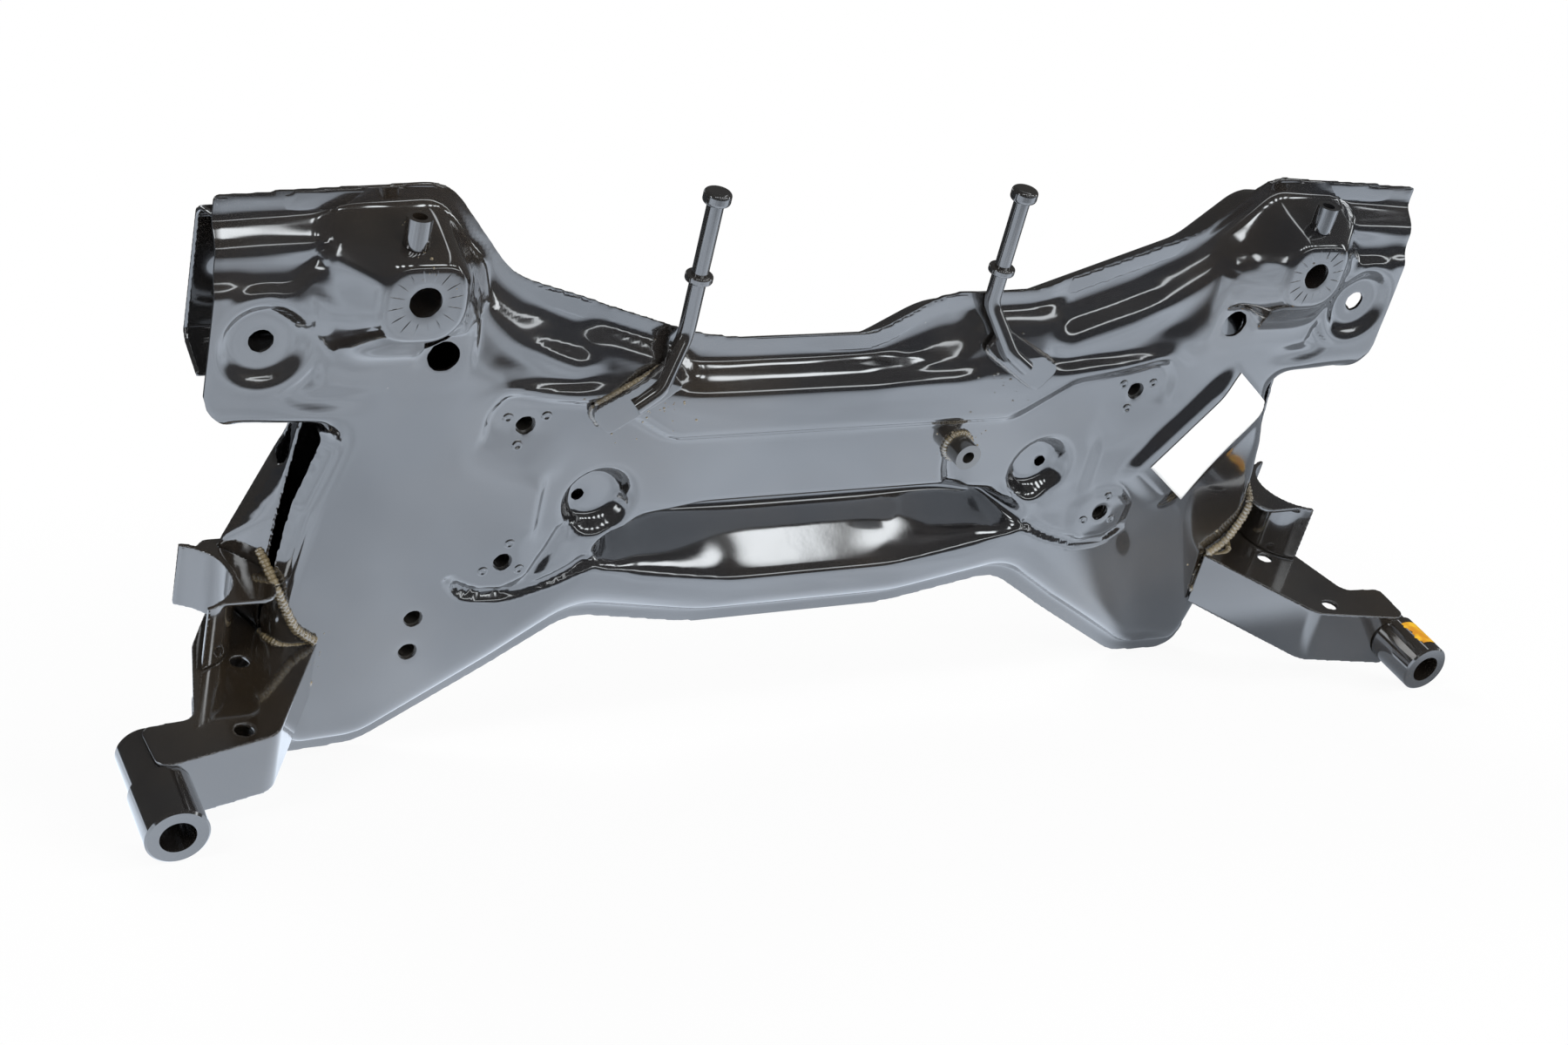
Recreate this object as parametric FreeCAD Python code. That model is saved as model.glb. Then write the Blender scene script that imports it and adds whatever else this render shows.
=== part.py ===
"""Front subframe of a small car: two pressed panels welded into a box beam, with its towers,
brackets, tubes and weld nuts. It is drawn as it sits in the car, x across, y to the rear and
z up, and is then stood up on its legs and towers, as it stands when it is off the car."""

import FreeCAD
import Part
import functools
import math
import os

V = FreeCAD.Vector
UP = V(0, 0, 1)
REARWARD = V(0, 1, 0)

# Sheet and levels of the box beam
sheet = 2.6
weld_gap = 0.2
deck_z = 47.0
seam_z = 29.0
floor_z = -2.0
floor_inset = 7.0
flange_width = 10.0
flange_clear_x = 405.0
flange_clear = 75.0
flange_clear_front_y = -90.0
flange_clear_rear_y = 213.0
roll_steps = 4
keel_rise = 6.0
keel_inset = 5.0

# Ears at both ends of the beam, open outwards for the rear bush of a control arm
ear_end_x = 402.5
ear_trim = 12.0
ear_rear_y = 213.0
ear_front_y = 138.0
ear_floor_front_y = 152.0
ear_wall_lean = 8.0
bush_bolt_x = 374.0
bush_bolt_y = 180.5
bush_hole_radius = 7.0
dish_radius = 26.5
dish_floor_radius = 18.5
dish_depth = 5.0
ear_corner_radius = 22.0
bush_nut_radius = 13.0
bush_nut_height = 9.0

# Rear mounts to the body, each a raised cone with a spacer tube under it
body_mount_x = 300.0
body_mount_y = 219.0
body_mount_z = 74.0
body_hole_radius = 9.2
mount_half = 23.0
spacer_radius = 16.0

# Holes beside the rear mounts
locating_x = 273.0
locating_y = 169.5
locating_radius = 9.5

# Steering gear seats, four weld nuts under the recessed deck
gear_nut_x = 214.5
gear_nut_rear_y = 119.4
gear_nut_front_y = 27.5
gear_hole_radius = 6.2
nut_bore_radius = 5.1
nut_radius = 10.5
nut_height = 11.0
recess_depth = 4.5

# Trough across the deck and the round pockets at its ends
trough_floor_z = 9.0
core_inset = 10.0
pocket_x = 158.0
pocket_y = 62.0
pocket_radius = 25.0
pocket_floor_radius = 17.0
pocket_depth = 17.0
drain_x = 166.0
drain_y = 60.0
drain_radius = 4.2

# Towers that carry the front mounts to the body
tower_sheet = 3.0
tower_rear_y = -18.0
tower_depth = 40.0
tower_hole_radius = 5.2
tower_hole_near = (369.0, 57.0)
tower_hole_far = (383.0, 116.0)
sleeve_x = 432.3
sleeve_bore = 9.9
sleeve_radius = 15.5
collar_radius = 17.4
sleeve_foot_z = 102.0
collar_z = 137.0
sleeve_top_z = 174.0
sleeve_chamfer = 1.2

# Bracket for the front bush of a control arm, between the tower and the side of the beam
cheek_sheet = 3.0
cheek_y = 24.0
bush_axis_x = 402.0
bush_axis_z = 30.0
bush_notch_radius = 31.0
cheek_top_z = 58.0

# Exhaust hangers
hanger_radius = 5.0
hanger_z = 37.5
hanger_tip_y = 264.0
hanger_bead_y = 212.0
hanger_bend_y = 186.0
hanger_right_x = 83.4
hanger_left_x = -122.6
hanger_left_shift = -14.0
hanger_bead_radius = 8.2
hanger_bead_length = 5.0
hanger_head_length = 8.0
hanger_bend_radius = 16.0
hanger_knee = (16.0, -29.0, 13.0)
hanger_end = (30.0, -39.0, 14.0)
foot_sheet = 4.0

# Small tubes behind the rear mounts and the openings in the sides of the lower panel
clip_tube_x = 304.0
clip_tube_radius = 7.0
clip_tube_bore = 4.0
clip_tube_z = 58.0
clip_tube_end_y = 261.0
side_hole_radius = 11.0
side_hole_y = 98.0
side_hole_z = 14.0

# Threaded boss on the deck and the two nuts in the left leg
boss_x = 86.0
boss_y = 86.0
boss_radius = 9.0
boss_height = 15.0
boss_bore = 4.1
leg_nut_x = -264.5
leg_nut_rear_y = -8.0
leg_nut_front_y = -32.0
leg_hole_radius = 6.0

# How far cutters reach past what they cut
cut_margin = 60.0


def rounded_wire(corners, z, inset=0.0):
    """A closed wire at height z through corners (x, y, radius), all its sides moved in by inset."""
    count = len(corners)
    sides = []
    for index in range(count):
        start = V(corners[index][0], corners[index][1], 0)
        end = V(corners[(index + 1) % count][0], corners[(index + 1) % count][1], 0)
        along = (end - start).normalize()
        inward = V(-along.y, along.x, 0)
        sides.append((start + inward * inset, along))
    points = []
    for index in range(count):
        base, along = sides[index - 1]
        other, across = sides[index]
        turn = along.x * across.y - along.y * across.x
        reach = ((other - base).x * across.y - (other - base).y * across.x) / turn
        radius = corners[index][2] - inset if turn > 0 else corners[index][2] + inset
        points.append((base + along * reach, along, across, max(radius, 0.4)))
    joints = []
    for place, along, across, radius in points:
        half_turn = math.acos(max(-1.0, min(1.0, along.dot(across)))) / 2
        setback = radius * math.tan(half_turn)
        inward = (across - along).normalize()
        middle = place + inward * (radius / math.cos(half_turn) - radius)
        joints.append((place - along * setback, middle, place + across * setback))
    lift = V(0, 0, z)
    edges = []
    for index in range(count):
        first, middle, last = joints[index]
        following = joints[(index + 1) % count][0]
        edges.append(Part.Arc(first + lift, middle + lift, last + lift).toShape())
        edges.append(Part.LineSegment(last + lift, following + lift).toShape())
    return Part.Wire(edges)


def mirrored(shape):
    """The same shape on the other side of the car."""
    return shape.mirror(V(0, 0, 0), V(1, 0, 0))


def other_side(corners):
    """A half outline followed backwards on the left side."""
    return [(-x, y, radius) for x, y, radius in reversed(corners)]


def prism(corners, bottom, top, inset=0.0):
    """An upright block with a rounded outline."""
    face = Part.Face(rounded_wire(corners, bottom, inset))
    return face.extrude(V(0, 0, top - bottom))


def stack(levels, inset=0.0):
    """A solid through rounded outlines at rising heights, its sides ruled straight between them."""
    wires = [rounded_wire(corners, z, inset) for corners, z in levels]
    return Part.makeLoft(wires, True, True)


def pin(x, y, bottom, top, radius):
    """An upright round bar."""
    return Part.makeCylinder(radius, top - bottom, V(x, y, bottom), UP)


def tube(x, y, bottom, top, radius, bore):
    """An upright tube."""
    return pin(x, y, bottom, top, radius).cut(pin(x, y, bottom - 1, top + 1, bore))


# Outlines of the beam, counter-clockwise seen from above: corners (x, y, radius) of the deck's
# edge and of the foot of the skirt, corner by corner in the same order.
EAR_OUT = ear_end_x + ear_trim
DECK_HALF = [(70, -9, 150), (160, 7, 45), (212, -33, 60), (288, -84, 34), (322, -86, 9),
             (343, 0, 60), (329, 75, 40), (312, ear_front_y - 6, 14),
             (EAR_OUT, ear_front_y, 6), (EAR_OUT, ear_rear_y, 6), (283, ear_rear_y + 7, 20)]
FOOT_HALF = [(70, -33, 150), (158, -17, 45), (207, -50, 60), (285, -99, 34), (329, -101, 9),
             (353, -8, 60), (343, 70, 40), (327, ear_front_y - 14, 14),
             (EAR_OUT, ear_front_y - ear_wall_lean, 6), (EAR_OUT, ear_rear_y + 34, 6), (283, ear_rear_y + 43, 18)]
DECK_REAR = [(238, 166, 55), (128, 129, 80), (58, 122, 70), (12, 121, 70),
             (-105, 121, 180), (-236, 161, 60)]
FOOT_REAR = [(243, 220, 45), (126, 180, 60), (57, 178, 45), (14, 153, 50),
             (-100, 153, 150), (-238, 200, 60)]
DECK = DECK_HALF + DECK_REAR + other_side(DECK_HALF)
FOOT = FOOT_HALF + FOOT_REAR + other_side(FOOT_HALF)


def shrunk(corners, amount):
    """The same outline with every corner moved towards the inside by an amount on each side."""
    moved = []
    count = len(corners)
    for index in range(count):
        x, y, radius = corners[index]
        before = (V(x, y, 0) - V(*corners[index - 1][:2], 0)).normalize()
        after = (V(*corners[(index + 1) % count][:2], 0) - V(x, y, 0)).normalize()
        inward = V(-before.y - after.y, before.x + after.x, 0)
        scale = amount / (1 + before.dot(after))
        moved.append((x + inward.x * scale, y + inward.y * scale, radius))
    return moved


def blend(first, second, share):
    """The outline that lies between two others, corner by corner."""
    return [tuple(a + (b - a) * share for a, b in zip(one, other)) for one, other in zip(first, second)]


def lower_outline(level):
    """Outline of the lower panel at its mouth or at its floor."""
    inset_front = {"mouth": 0, "floor": floor_inset}[level]
    side = {"mouth": [(329, -101, 9), (353, -8, 60), (349, 60, 30), (343, 120, 20)],
            "floor": [(331, -92, 9), (364, -8, 22), (372, 26, 14), (340, 104, 30)]}[level]
    ear_front = ear_floor_front_y + {"mouth": 0, "floor": 6}[level]
    ear_rear = ear_rear_y + 34 - inset_front
    front = [(70, -33 + inset_front, 150), (158, -17 + inset_front, 45), (207, -50 + inset_front, 60),
             (285, -99 + inset_front, 34)]
    right = front + side + [(330, ear_front, 14), (ear_end_x + ear_trim, ear_front, 6),
                            (ear_end_x + ear_trim, ear_rear, 6),
                            (283 - inset_front, ear_rear + 9 - inset_front / 2, 18)]
    rear = [(243 - inset_front / 2, 220 - inset_front, 45), (126, 180 - inset_front, 60),
            (57, 178 - inset_front, 45), (14, 153 - inset_front, 50),
            (-100, 153 - inset_front, 150), (-238 + inset_front / 2, 200 - inset_front, 60)]
    left_half = other_side(right)
    return right + rear + left_half


RECESS_HALF = [(100, 44, 30), (150, 20, 12), (197, 16, 8), (197, 100, 5), (241, 101, 6),
               (239, 141, 14), (162, 131, 30), (120, 105, 30)]
TROUGH_MOUTH_HALF = [(60, -2, 90), (165, 20, 8), (150, 38, 10), (90, 56, 40)]
TROUGH_FLOOR_HALF = [(60, 30, 90), (140, 29, 2.5), (132, 35, 2.5), (84, 46, 30)]
MOUNT_FOOT = [(body_mount_x + 69, 155, 30), (body_mount_x + 62, 251, 20), (body_mount_x - 21, 251, 20),
              (body_mount_x - 55, 205, 30), (body_mount_x - 52, 155, 40)]
MOUNT_TOP = [(body_mount_x + mount_half, body_mount_y - mount_half, 18),
             (body_mount_x + mount_half, body_mount_y + mount_half, 18),
             (body_mount_x - mount_half + 6, body_mount_y + mount_half, 12),
             (body_mount_x - mount_half, body_mount_y + mount_half / 2, 12),
             (body_mount_x - mount_half, body_mount_y - mount_half, 18)]

# Outline of a hanger's strap, from the bend of the rod: out to the side, along y, corner radius
STRAP = [(12, -14, 3), (0, -28, 3), (44, -58, 6), (58, -41, 6)]
TOWER = [(371, 0, 12), (391, 38, 24), (407, 102, 10), (437, 105, 6),
         (435, 140, 8), (366, 124, 16), (319, 44, 10), (338, 2, 10)]


def bores(places, radius):
    """Upright round cutters at all the given places."""
    return [pin(x, y, floor_z - cut_margin, deck_z + cut_margin, radius) for x, y in places]


def both_sides(places):
    """The same places on both sides of the car."""
    return list(places) + [(-x, y) for x, y in places]


@functools.lru_cache(maxsize=None)
def upper_form(inset=0.0):
    """The closed shape of the upper panel without its hollows, all its walls moved in by inset.
    The wall rolls over from the deck to the skirt in a quarter of an ellipse."""
    levels = []
    for step in range(roll_steps + 1):
        turn = math.radians(90.0 * step / roll_steps)
        level = seam_z + (deck_z - inset - seam_z) * math.cos(turn)
        levels.append((blend(DECK, FOOT, math.sin(turn)), level))
    lowest = seam_z
    if inset > 0:
        lowest = seam_z - 1
        levels.append((FOOT, lowest))
    body = stack(levels[::-1], inset)
    for side in (1, -1):
        foot = MOUNT_FOOT if side > 0 else other_side(MOUNT_FOOT)
        top = MOUNT_TOP if side > 0 else other_side(MOUNT_TOP)
        body = body.fuse(stack([(foot, lowest), (top, body_mount_z - inset)], inset))
    return body


@functools.lru_cache(maxsize=None)
def upper_skin(inset=0.0):
    """The upper panel as a solid: its form with every hollow pressed in."""
    body = upper_form(inset)
    core_bottom = trough_floor_z - 3 * sheet - inset
    body = body.fuse(prism(FOOT, core_bottom, seam_z, core_inset))
    above = deck_z + 1
    recess = RECESS_HALF + other_side(RECESS_HALF)
    mouth = TROUGH_MOUTH_HALF + other_side(TROUGH_MOUTH_HALF)
    floor = TROUGH_FLOOR_HALF + other_side(TROUGH_FLOOR_HALF)
    body = body.cut(prism(recess, deck_z - recess_depth - inset, above, -inset))
    body = body.cut(stack([(floor, trough_floor_z - inset), (mouth, above)], -inset))
    for side in (1, -1):
        pocket = Part.makeCone(pocket_floor_radius + inset, pocket_radius + inset, pocket_depth + inset + 1,
                               V(side * pocket_x, pocket_y, deck_z - pocket_depth - inset), UP)
        dish = Part.makeCone(dish_floor_radius + inset, dish_radius + inset, dish_depth + inset + 1,
                             V(side * bush_bolt_x, bush_bolt_y, deck_z - dish_depth - inset), UP)
        body = body.cut(pocket).cut(dish)
    return body


def flange(outline, bottom):
    """The welding flange round an outline, left off the sides and the front of the ears."""
    ring = prism(outline, bottom, bottom + sheet, -flange_width)
    ring = ring.cut(prism(outline, bottom - 1, bottom + sheet + 1, sheet / 2))
    for side in (1, -1):
        clear = Part.makeBox(2 * flange_clear, flange_clear_rear_y - flange_clear_front_y, 4 * sheet,
                             V(side * flange_clear_x - flange_clear, flange_clear_front_y, bottom - sheet))
        ring = ring.cut(clear)
    return ring


def ear_ends():
    """What lies outside the open ends of the ears, with the round of their front corners."""
    ends = []
    bottom = floor_z - cut_margin
    top = body_mount_z + cut_margin
    corner_x = ear_end_x - ear_corner_radius
    front_y = ear_front_y - ear_wall_lean
    rear_y = ear_rear_y + 2 * cut_margin
    for side in (1, -1):
        outside = Part.makeBox(2 * cut_margin, rear_y - front_y + sheet, top - bottom,
                               V(corner_x, front_y - sheet, bottom))
        kept = prism([(0, front_y, 1), (ear_end_x, front_y, ear_corner_radius), (ear_end_x, rear_y + 1, 1),
                      (0, rear_y + 1, 1)], bottom - 1, top + 1)
        end = outside.cut(kept)
        ends.append(end if side > 0 else mirrored(end))
    return ends


def upper_panel():
    """The pressed top of the box beam."""
    tools = ear_ends()
    tools += bores(both_sides([(gear_nut_x, gear_nut_rear_y), (gear_nut_x, gear_nut_front_y)]),
                   gear_hole_radius)
    tools += bores(both_sides([(locating_x, locating_y)]), locating_radius)
    tools += bores(both_sides([(body_mount_x, body_mount_y)]), body_hole_radius)
    tools += bores(both_sides([(drain_x, drain_y)]), drain_radius)
    tools += bores([(leg_nut_x, leg_nut_rear_y), (leg_nut_x, leg_nut_front_y)], leg_hole_radius)
    tools += bores(both_sides([(bush_bolt_x, bush_bolt_y)]), bush_hole_radius)
    return upper_skin().fuse(flange(FOOT, seam_z)).cut([upper_skin(sheet)] + tools)


@functools.lru_cache(maxsize=None)
def lower_form(inset=0.0):
    """The closed shape of the lower panel, or of its inside, with a slanted keel round its floor."""
    highest = seam_z if inset <= 0 else seam_z + 1
    floor = lower_outline("floor")
    mouth = lower_outline("mouth")
    return stack([(shrunk(floor, keel_inset), floor_z + inset), (floor, floor_z + keel_rise + inset / 2),
                  (mouth, highest)], inset)


def lower_panel():
    """The pressed tray that closes the box beam from below."""
    tools = ear_ends()
    tools += bores(both_sides([(body_mount_x, body_mount_y)]), body_hole_radius)
    tools += bores(both_sides([(bush_bolt_x, bush_bolt_y)]), bush_hole_radius)
    tools.append(Part.makeCylinder(side_hole_radius, 4 * ear_end_x,
                                   V(-2 * ear_end_x, side_hole_y, side_hole_z), V(1, 0, 0)))
    rim = flange(lower_outline("mouth"), seam_z - sheet)
    return lower_form().fuse(rim).cut([lower_form(sheet)] + tools)


def facing_rear(shape, y):
    """A shape drawn in x and z, its depth running forward from y."""
    shape.rotate(V(0, 0, 0), V(1, 0, 0), 90)
    shape.translate(V(0, y, 0))
    return shape


def tower_block(start, end, inset):
    """The outline of a tower between two depths forward of its rear wall."""
    return facing_rear(prism(TOWER, start, end, inset), tower_rear_y)


def sleeve_y():
    """The sleeves lie against the front of the rear walls of their towers."""
    return tower_rear_y - tower_sheet - weld_gap - sleeve_radius


def clear_of_beam(shape):
    """A piece cut back to the outside of the box beam."""
    return shape.cut([upper_form(-weld_gap), lower_form(-weld_gap)])


def sleeve_room():
    """The cutters that make room for the sleeve and its collar in a tower."""
    y = sleeve_y()
    return [pin(sleeve_x, y, sleeve_foot_z - cut_margin, sleeve_top_z, sleeve_radius + weld_gap),
            pin(sleeve_x, y, collar_z - weld_gap, sleeve_top_z, collar_radius + weld_gap)]


def tower_arm():
    """A pressed pan, open forward and outward, that carries the sleeve of a front body mount."""
    inside = tower_block(tower_sheet, tower_depth + 1, tower_sheet)
    opened = inside.copy()
    opened.translate(V(4 * tower_sheet, 0, 0))
    arm = tower_block(0, tower_depth, 0).cut([inside, opened])
    arm = arm.cut(sleeve_room())
    for x, z in (tower_hole_near, tower_hole_far):
        arm = arm.cut(Part.makeCylinder(tower_hole_radius, 4 * tower_sheet,
                                        V(x, tower_rear_y + tower_sheet, z), V(0, -1, 0)))
    return clear_of_beam(arm)


def tower_brace():
    """The plate that closes the front of a tower between its flanged walls."""
    plate = tower_block(tower_depth - tower_sheet, tower_depth, tower_sheet + weld_gap)
    return clear_of_beam(plate.cut(sleeve_room()))


def tower_sleeve():
    """A turned sleeve with a thicker collar for the bolt of a front body mount."""
    profile = [V(sleeve_bore, 0, sleeve_foot_z), V(sleeve_radius, 0, sleeve_foot_z),
               V(sleeve_radius, 0, collar_z), V(collar_radius, 0, collar_z),
               V(collar_radius, 0, sleeve_top_z - sleeve_chamfer),
               V(collar_radius - sleeve_chamfer, 0, sleeve_top_z), V(sleeve_bore, 0, sleeve_top_z)]
    face = Part.Face(Part.makePolygon(profile + profile[:1]))
    sleeve = face.revolve(V(0, 0, 0), UP, 360)
    sleeve.translate(V(sleeve_x, sleeve_y(), 0))
    return sleeve


def control_arm_bracket():
    """A cheek with a half-round notch and the saddle that runs from it to the tower."""
    cheek = [(340, -4, 4), (378, -4, 8), (392, 12, 6), (392, cheek_top_z, 8), (352, cheek_top_z, 10)]
    plate = facing_rear(prism(cheek, 0, cheek_sheet), cheek_y)
    length = cheek_y - tower_rear_y - weld_gap
    axis = V(bush_axis_x, cheek_y, bush_axis_z)
    rim = Part.makeCylinder(bush_notch_radius + cheek_sheet, length, axis, V(0, -1, 0))
    hollow = Part.makeCylinder(bush_notch_radius, length + 2 * cheek_sheet,
                               axis + V(0, cheek_sheet, 0), V(0, -1, 0))
    half = Part.makeBox(cut_margin, 4 * cut_margin, 2 * cut_margin,
                        V(392 - cut_margin, -2 * cut_margin, bush_axis_z - cut_margin))
    return clear_of_beam(plate.fuse(rim.common(half)).cut(hollow))


def hex_nut(x, y, bottom, height, radius, bore):
    """A hexagonal weld nut across the given corner radius."""
    corners = []
    for index in range(6):
        turn = math.radians(60 * index)
        corners.append((x + radius * math.cos(turn), y + radius * math.sin(turn), 1.0))
    return prism(corners, bottom, bottom + height).cut(pin(x, y, bottom - 1, bottom + height + 1, bore))


def hanger_rod(points):
    """A round rod bent through points, with a mushroom head and a stop bead."""
    edges = []
    start = points[0]
    for index in range(1, len(points) - 1):
        before = (points[index] - points[index - 1]).normalize()
        after = (points[index + 1] - points[index]).normalize()
        half_turn = math.acos(before.dot(after)) / 2
        setback = hanger_bend_radius * math.tan(half_turn)
        bend_in = points[index] - before * setback
        bend_out = points[index] + after * setback
        inward = (after - before).normalize()
        middle = points[index] + inward * (hanger_bend_radius / math.cos(half_turn) - hanger_bend_radius)
        edges.append(Part.LineSegment(start, bend_in).toShape())
        edges.append(Part.Arc(bend_in, middle, bend_out).toShape())
        start = bend_out
    edges.append(Part.LineSegment(start, points[-1]).toShape())
    path = Part.Wire(edges)
    forward = (points[1] - points[0]).normalize()
    ring = Part.Wire(Part.makeCircle(hanger_radius, points[0], forward))
    rod = path.makePipeShell([ring], True, False)
    for offset, length in ((0.0, hanger_head_length), (points[0].y - hanger_bead_y, hanger_bead_length)):
        collar = Part.makeCylinder(hanger_bead_radius, length, points[0] + forward * offset, forward)
        rod = rod.fuse(collar.makeFillet(0.3 * length, collar.Edges[0:1] + collar.Edges[2:3]))
    return rod


def hanger_foot(x, side, shift):
    """The strap that lies on the wall of the beam and carries a hanger."""
    strap = [(x + side * out, hanger_bend_y + y + shift, radius) for out, y, radius in STRAP]
    fence = prism(strap if side > 0 else strap[::-1], seam_z + sheet + 1, deck_z + 3 * foot_sheet)
    return upper_form(-weld_gap - foot_sheet).common(fence).cut(upper_form(-weld_gap))


def hanger(x, side, shift):
    """A hanger rod, cut away where it is welded down on its strap."""
    points = [V(x, hanger_tip_y, hanger_z), V(x, hanger_bend_y + shift, hanger_z),
              V(x + side * hanger_knee[0], hanger_bend_y + hanger_knee[1] + shift, hanger_z + hanger_knee[2]),
              V(x + side * hanger_end[0], hanger_bend_y + hanger_end[1] + shift, hanger_z + hanger_end[2])]
    rod = hanger_rod(points)
    return rod.cut([upper_form(-weld_gap), hanger_foot(x, side, shift)])


def clip_tube(side):
    """A short tube behind a rear mount, pointing to the rear."""
    x = side * clip_tube_x
    start = V(x, body_mount_y, clip_tube_z)
    length = clip_tube_end_y - body_mount_y
    ring = Part.makeCylinder(clip_tube_radius, length, start, REARWARD)
    ring = ring.cut(Part.makeCylinder(clip_tube_bore, length + 1, start, REARWARD))
    return largest(ring.cut(upper_form(-weld_gap)))


def largest(shape):
    """The biggest solid of a cut piece; the slivers that a cut leaves behind are dropped."""
    return max(shape.Solids, key=lambda solid: solid.Volume)


def standing(pieces):
    """All pieces turned from the car's frame to how the part stands off the car, on its legs and
    on the collars of its sleeves, with the origin under the middle of its box."""
    collar = V(0, sleeve_y() - collar_radius, sleeve_top_z)
    leg_y = min(y for x, y, radius in FOOT) - flange_width
    leg = V(0, leg_y, seam_z + sheet)
    lean = math.degrees(math.atan2(collar.y - leg.y, collar.z - leg.z))
    box = FreeCAD.BoundBox()
    for shape in pieces.values():
        shape.rotate(V(0, 0, 0), V(1, 0, 0), 90 + lean)
        box.add(shape.BoundBox)
    shift = V(-box.Center.x, -box.Center.y, -box.ZMin)
    for shape in pieces.values():
        shape.translate(shift)
    print("lean", round(lean, 3), "shift", [round(value, 3) for value in shift])


def main():
    os.makedirs("parts", exist_ok=True)
    under_deck = deck_z - sheet - nut_height
    pieces = {"upper_panel": upper_panel(), "lower_panel": lower_panel()}
    tower = {"tower_arm_": tower_arm(), "tower_brace_": tower_brace(), "tower_sleeve_": tower_sleeve(),
             "control_arm_bracket_": control_arm_bracket()}
    for name, shape in tower.items():
        pieces[name + "right"] = largest(shape)
        pieces[name + "left"] = mirrored(largest(shape))
    for name, side in (("right", 1), ("left", -1)):
        pieces["spacer_tube_" + name] = tube(side * body_mount_x, body_mount_y, floor_z + sheet,
                                             body_mount_z - sheet, spacer_radius, body_hole_radius)
        pieces["bush_nut_" + name] = hex_nut(side * bush_bolt_x, bush_bolt_y, floor_z + sheet,
                                             bush_nut_height, bush_nut_radius, bush_hole_radius)
        pieces["gear_nut_rear_" + name] = hex_nut(side * gear_nut_x, gear_nut_rear_y,
                                                  under_deck - recess_depth, nut_height, nut_radius,
                                                  nut_bore_radius)
        pieces["gear_nut_front_" + name] = hex_nut(side * gear_nut_x, gear_nut_front_y, under_deck,
                                                   nut_height, nut_radius, nut_bore_radius)
        pieces["clip_tube_" + name] = clip_tube(side)
    for name, y in (("rear", leg_nut_rear_y), ("front", leg_nut_front_y)):
        pieces["leg_nut_" + name] = hex_nut(leg_nut_x, y, under_deck, nut_height, nut_radius,
                                            nut_bore_radius)
    for name, x, side, shift in (("right", hanger_right_x, 1, 0.0),
                                 ("left", hanger_left_x, -1, hanger_left_shift)):
        pieces["hanger_foot_" + name] = largest(hanger_foot(x, side, shift))
        pieces["hanger_rod_" + name] = largest(hanger(x, side, shift))
    recess_z = deck_z - recess_depth
    pieces["threaded_boss"] = tube(boss_x, boss_y, recess_z, recess_z + boss_height, boss_radius,
                                   boss_bore)
    standing(pieces)
    for name, shape in pieces.items():
        print(name, shape.isValid(), round(shape.Volume), len(shape.Solids))
        shape.exportStep("parts/" + name + ".step")


main()
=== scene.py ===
"""Looks of a small car's front subframe in gloss black paint, stood on its legs on a white floor."""

import math
import random

import bpy
import numpy as np
from mathutils import Matrix, Vector
from mathutils.bvhtree import BVHTree


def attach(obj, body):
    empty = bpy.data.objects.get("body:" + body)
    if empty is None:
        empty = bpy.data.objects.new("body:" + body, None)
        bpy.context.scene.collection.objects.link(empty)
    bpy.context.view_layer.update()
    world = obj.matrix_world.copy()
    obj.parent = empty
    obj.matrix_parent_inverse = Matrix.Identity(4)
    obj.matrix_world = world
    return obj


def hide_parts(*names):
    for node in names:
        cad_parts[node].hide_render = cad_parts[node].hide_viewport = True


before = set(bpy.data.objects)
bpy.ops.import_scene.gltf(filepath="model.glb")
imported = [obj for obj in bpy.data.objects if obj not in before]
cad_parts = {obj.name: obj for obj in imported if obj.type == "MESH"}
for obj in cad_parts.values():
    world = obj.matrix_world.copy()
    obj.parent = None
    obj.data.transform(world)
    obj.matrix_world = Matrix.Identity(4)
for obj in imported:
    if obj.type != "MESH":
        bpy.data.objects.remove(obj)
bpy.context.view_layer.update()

# The studio. The part stands on a white table that runs on without an edge, in a room that the paint
# mirrors as dark, with glowing cards round it for the pale streaks. What the paint mirrors of the
# table isn't plain: it is bluish, has patches of painted light and shade, is dark far out, and has two
# patches of painted shade set for this camera.
scene = bpy.context.scene
scene.view_settings.view_transform = "Standard"

camera_data = bpy.data.cameras.new("camera")
camera_data.lens = 55.46
camera_data.sensor_width = 36.0
camera_data.shift_x = 0.0033
camera_data.shift_y = 0.0041
camera_data.clip_end = 60.0
camera = bpy.data.objects.new("camera", camera_data)
camera_right = Vector((0.8743, -0.4834, 0.0423)).normalized()
camera_back = Vector((-0.4798, -0.8480, 0.2251)).normalized()
camera_up = camera_back.cross(camera_right).normalized()
camera_right = camera_up.cross(camera_back)
turned = Matrix((camera_right, camera_up, camera_back)).transposed().to_4x4()
camera.matrix_world = Matrix.Translation((-0.7485, -1.2605, 0.4657)) @ turned
scene.collection.objects.link(camera)
scene.camera = camera

table_mesh = bpy.data.meshes.new("table")
reach = 12.0
table_mesh.from_pydata([(-reach, -reach, 0), (reach, -reach, 0), (reach, reach, 0), (-reach, reach, 0)],
                       [], [(0, 1, 2, 3)])
table = bpy.data.objects.new("table", table_mesh)
scene.collection.objects.link(table)
table_white = bpy.data.materials.new("table_white")
table_white.use_nodes = True
nodes, links = table_white.node_tree.nodes, table_white.node_tree.links
nodes.clear()
rays = nodes.new("ShaderNodeLightPath")
spot = nodes.new("ShaderNodeTexCoord")
far = nodes.new("ShaderNodeVectorMath")
far.operation = "LENGTH"
links.new(spot.outputs["Object"], far.inputs[0])
ahead = nodes.new("ShaderNodeSeparateXYZ")
links.new(spot.outputs["Object"], ahead.inputs[0])
out_front = nodes.new("ShaderNodeMath")
out_front.operation = "ABSOLUTE"
links.new(ahead.outputs["Y"], out_front.inputs[0])


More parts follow.
